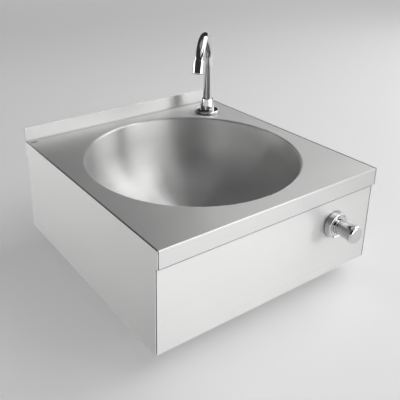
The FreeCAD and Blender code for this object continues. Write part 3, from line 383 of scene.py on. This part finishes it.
FINISHES = {
    "brushed_sheet": brushed_flat("brushed_along_x", "X", STEEL, 0.40, 0.90),
    "bowl_steel": brushed_round("brushed_in_rings", BOWL_AXIS, BOWL_STEEL, 0.43, 0.97),
    "mounting_steel": rolled_steel("rolled_steel"),
    "chrome": chrome("polished_chrome"),
    "strainer_steel": chrome("polished_strainer", grey(0.78), 0.12),
    "brass": brass("machined_brass"),
    "rubber": matte("black_rubber", grey(0.018), (0.035, 0.035, 0.034), 0.62, 80.0, 0.25),
    "fibre": matte("red_fibre", (0.33, 0.07, 0.05), (0.45, 0.11, 0.08), 0.75, 220.0, 0.35),
    "white_plastic": matte("white_plastic", (0.70, 0.70, 0.68), (0.80, 0.80, 0.78), 0.42, 60.0, 0.08),
    "spring_steel": chrome("drawn_wire", (0.62, 0.62, 0.64), 0.24),
}
SIDE_SHEET = brushed_flat("brushed_along_y", "Y", STEEL, 0.40, 0.90)
DECK_SHEET = brushed_flat("brushed_deck", "X", DECK_STEEL, 0.41, 0.91, cove=True)
OWN_FINISH = {"left_side_panel": SIDE_SHEET, "right_side_panel": SIDE_SHEET, "worktop": DECK_SHEET}


# ---------------------------------------------------------------- the model's own nodes


SMOOTH_ANGLE = math.radians(32)
COLLAR_START = 0.0002          # metres below the deck
COLLAR_WIDTH = 0.004           # metres beyond the bowl


def dress(mesh, material):
    """Gives a mesh its material and smooth shading over its rounded faces."""
    mesh.materials.clear()
    mesh.materials.append(material)
    mesh.shade_smooth()
    mesh.set_sharp_from_angle(angle=SMOOTH_ANGLE)


def finish_collar(mesh, material):
    """Brushes the deck's turned-down collar in rings, as the bowl below it is."""
    reach = (bowl_high.x - bowl_low.x) / 2 + COLLAR_WIDTH
    mesh.materials.append(material)
    for face in mesh.polygons:
        beside = (face.center - BOWL_AXIS).xy.length
        if beside < reach and face.center.z < DECK_LEVEL - COLLAR_START:
            face.material_index = 1


for part in frame["record"]["subparts"]:
    name = part["node"]
    dress(nodes[name].data, OWN_FINISH.get(name, FINISHES[part["material_slot"]]))
finish_collar(nodes["worktop"].data, FINISHES["bowl_steel"])


# ---------------------------------------------------------------- small trim, and a strip of painted shade


ARC_STEPS = 12
END_STEPS = 4
BLUNT_END = 0.02               # share of the full section at a bead's very ends

# The dark strip under the front drop is painted shade: a dark piece where there is only shade.
SHADOW_STRIP_WIDTH = 0.0030            # metres
SHADOW_STRIP_HANG = 0.0016
SHADOW_STRIP_END_GAP = 0.004
SHADOW_STRIP_SHIFT = 0.0002            # towards the wall from the middle between drop and panel

MARK_FROM_SIDE = (0.0065, 0.0155)   # metres from the deck's left side
MARK_FROM_WALL = 0.0105
MARK_WIDTH = 0.0034
MARK_HEIGHT = 0.0004
MARK_SUNK = 0.0001


def bead(name, low, high, width, height):
    """A bead from low to high along X, with a half-round section and rounded ends.

    Its flat side lies at the height of low and high; it hangs down where height is negative.
    """
    mesh = bmesh.new()
    rings = []
    for end, first in ((low, -math.pi / 2), (high, 0.0)):
        for end_step in range(END_STEPS + 1):
            turn = first + math.pi / 2 * end_step / END_STEPS
            share = max(math.cos(turn), BLUNT_END)
            ring = []
            for arc_step in range(ARC_STEPS + 1):
                arc = math.pi * arc_step / ARC_STEPS
                ring.append(mesh.verts.new((end.x + width / 2 * math.sin(turn),
                                            end.y + width / 2 * share * math.cos(arc),
                                            end.z + height * share * math.sin(arc))))
            rings.append(ring)
    for one, two in zip(rings, rings[1:]):
        for here in range(ARC_STEPS):
            mesh.faces.new((one[here], one[here + 1], two[here + 1], two[here]))
        mesh.faces.new((one[-1], one[0], two[0], two[-1]))
    mesh.faces.new(rings[0])
    mesh.faces.new(rings[-1])
    bmesh.ops.recalc_face_normals(mesh, faces=mesh.faces)
    data = bpy.data.meshes.new(name)
    mesh.to_mesh(data)
    mesh.free()
    dress(data, FINISHES["rubber"])
    piece = put_in_scene(name, data)
    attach(piece, "basin")


def drop_shadow_strip():
    """A dark strip of painted shade in the corner under the deck's front drop."""
    along_y = (deck_low.y + panel_low.y) / 2 + SHADOW_STRIP_SHIFT
    low = Vector((deck_low.x + SHADOW_STRIP_END_GAP, along_y, deck_low.z))
    high = Vector((deck_high.x - SHADOW_STRIP_END_GAP, along_y, deck_low.z))
    bead("drop_shadow_strip", low, high, SHADOW_STRIP_WIDTH, -SHADOW_STRIP_HANG)


def cove_end_mark():
    """The short dark dash on the deck, beside the upstand's left end."""
    low, high = (Vector((deck_low.x + along, -MARK_FROM_WALL, DECK_LEVEL - MARK_SUNK))
                 for along in MARK_FROM_SIDE)
    bead("cove_end_mark", low, high, MARK_WIDTH, MARK_HEIGHT)


def squeezed_spring():
    """The return spring again, as a piece of the basin with a mesh of its own, in place of the
    model's node.
    """
    piece = put_in_scene("squeezed_spring", nodes["return_spring"].data.copy())
    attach(piece, "basin")
    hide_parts("return_spring")
    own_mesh(piece)


drop_shadow_strip()
cove_end_mark()
squeezed_spring()


# ---------------------------------------------------------------- stage, light and camera


FLOOR_LEVEL = cad_box[0][2] - 0.001
FLOOR_RADIUS = 30.0            # metres
FLOOR_SIDES = 96
FLOOR_TONE = (0.785, 0.80)     # cloudy, between these two
FLOOR_CLOUDS = 1.5             # per metre
FLOOR_ROUGHNESS = 0.7
FLOOR_GLOW = (0.25, 0.72)      # near and far: keeps the floor pale where the lamps don't reach
FLOOR_FADE = (1.2, 6.0)        # metres from the object, where the second takes over
BACKDROP_BEND = 5.0            # radius of the sweep from floor to backdrop
BACKDROP_STEPS = 12
BACKDROP_HEIGHT = 7.0

LAMP_DISTANCE = 2.4            # metres from the bowl
LAMP_POWER = 4.0               # watts per square metre of a lamp, at level 1


def floor_profile():
    """(radius, height) of the floor's rings, from its middle to the top of the backdrop."""
    flat = FLOOR_RADIUS - BACKDROP_BEND
    profile = [(0.0, 0.0), (flat / 2, 0.0), (flat, 0.0)]
    for step in range(1, BACKDROP_STEPS + 1):
        turn = math.pi / 2 * step / BACKDROP_STEPS
        profile.append((flat + BACKDROP_BEND * math.sin(turn), BACKDROP_BEND * (1 - math.cos(turn))))
    profile.append((FLOOR_RADIUS, BACKDROP_HEIGHT))
    return profile


def floor_material():
    """Matt and cloudy, with a glow that the camera and reflections see but that lights nothing."""
    material = Material("pale_floor", grey(FLOOR_TONE[1]), 0.0, FLOOR_ROUGHNESS)
    cloud = material.between(material.noise(material.place(), FLOOR_CLOUDS))
    material.wire("Base Color", material.tint(cloud, *(grey(tone) for tone in FLOOR_TONE)))
    path = material.tree.nodes.new("ShaderNodeLightPath").outputs
    mirrored = material.math("MAXIMUM", path["Is Glossy Ray"], path["Is Transmission Ray"])
    seen = material.math("MAXIMUM", path["Is Camera Ray"], mirrored)
    away = material.vector("LENGTH", material.place())
    glow = material.ramp(away, FLOOR_FADE, FLOOR_GLOW, "SMOOTHSTEP")
    material.set("Emission Color", WHITE)
    material.wire("Emission Strength", material.math("MULTIPLY", seen, glow))
    return material.data


def floor():
    """A round floor that sweeps up into a low backdrop all round, far behind the object."""
    profile = floor_profile()
    corners, faces = [], []
    for radius, rise in profile:
        for side in range(FLOOR_SIDES):
            turn = 2 * math.pi * side / FLOOR_SIDES
            corners.append((radius * math.cos(turn), radius * math.sin(turn), FLOOR_LEVEL + rise))
    for ring in range(len(profile) - 1):
        here, there = ring * FLOOR_SIDES, (ring + 1) * FLOOR_SIDES
        for side in range(FLOOR_SIDES):
            onward = (side + 1) % FLOOR_SIDES
            triangle = [here + side, there + side, there + onward]
            faces.append(triangle + [here + onward] if ring else triangle)
    mesh = bpy.data.meshes.new("floor")
    mesh.from_pydata(corners, [], faces)
    mesh.shade_smooth()
    mesh.materials.append(floor_material())
    put_in_scene("floor", mesh)


def world(level):
    """A dim, even studio room; the soft boxes do most of the lighting."""
    data = bpy.data.worlds.new("studio")
    bpy.context.scene.world = data
    data.use_nodes = True
    background = data.node_tree.nodes["Background"]
    background.inputs["Color"].default_value = WHITE
    background.inputs["Strength"].default_value = level


def softbox(name, azimuth, elevation, width, height, level):
    """A soft area lamp aimed at the middle of the bowl's mouth, which the camera doesn't see."""
    data = bpy.data.lights.new(name, "AREA")
    data.shape = "RECTANGLE"
    data.size = width
    data.size_y = height
    data.energy = level * width * height * LAMP_POWER
    towards = direction(azimuth, elevation)
    lamp = put_in_scene(name, data)
    lamp.location = Vector((BOWL_AXIS.x, BOWL_AXIS.y, DECK_LEVEL)) + towards * LAMP_DISTANCE
    lamp.rotation_euler = towards.to_track_quat("Z", "Y").to_euler()
    lamp.visible_camera = False


def camera():
    """The photograph's camera, with the shift that its crop needs."""
    data = bpy.data.cameras.new("photo_camera")
    data.sensor_width = SENSOR_WIDTH
    data.lens = SENSOR_WIDTH * FOCAL_PIXELS / IMAGE_SIDE
    data.shift_x = (IMAGE_SIDE / 2 - OPTICAL_AXIS[0]) / IMAGE_SIDE
    data.shift_y = (OPTICAL_AXIS[1] - IMAGE_SIDE / 2) / IMAGE_SIDE
    back = direction(CAMERA_AZIMUTH, CAMERA_ELEVATION)
    right = Vector((0, 0, 1)).cross(back).normalized()
    turn = Matrix((right, back.cross(right), back)).transposed()
    eye = put_in_scene("photo_camera", data)
    eye.matrix_world = Matrix.Translation(CAMERA_EYE) @ turn.to_4x4()
    bpy.context.scene.camera = eye


floor()
world(level=0.04)
softbox("front_box", azimuth=5, elevation=9, width=1.2, height=0.9, level=2.3)
softbox("front_right_box", azimuth=31, elevation=9, width=1.1, height=0.9, level=2.5)
softbox("right_box", azimuth=83, elevation=22, width=1.7, height=1.2, level=1.75)
softbox("low_rear_box", azimuth=222, elevation=5, width=1.5, height=0.6, level=2.1)
softbox("high_front_box", azimuth=10, elevation=50, width=1.5, height=1.1, level=0.6)
softbox("high_right_box", azimuth=67, elevation=50, width=2.7, height=1.1, level=1.6)
softbox("top_box", azimuth=0, elevation=89, width=1.6, height=1.6, level=0.25)
camera()
bpy.context.scene.view_settings.view_transform = "Standard"
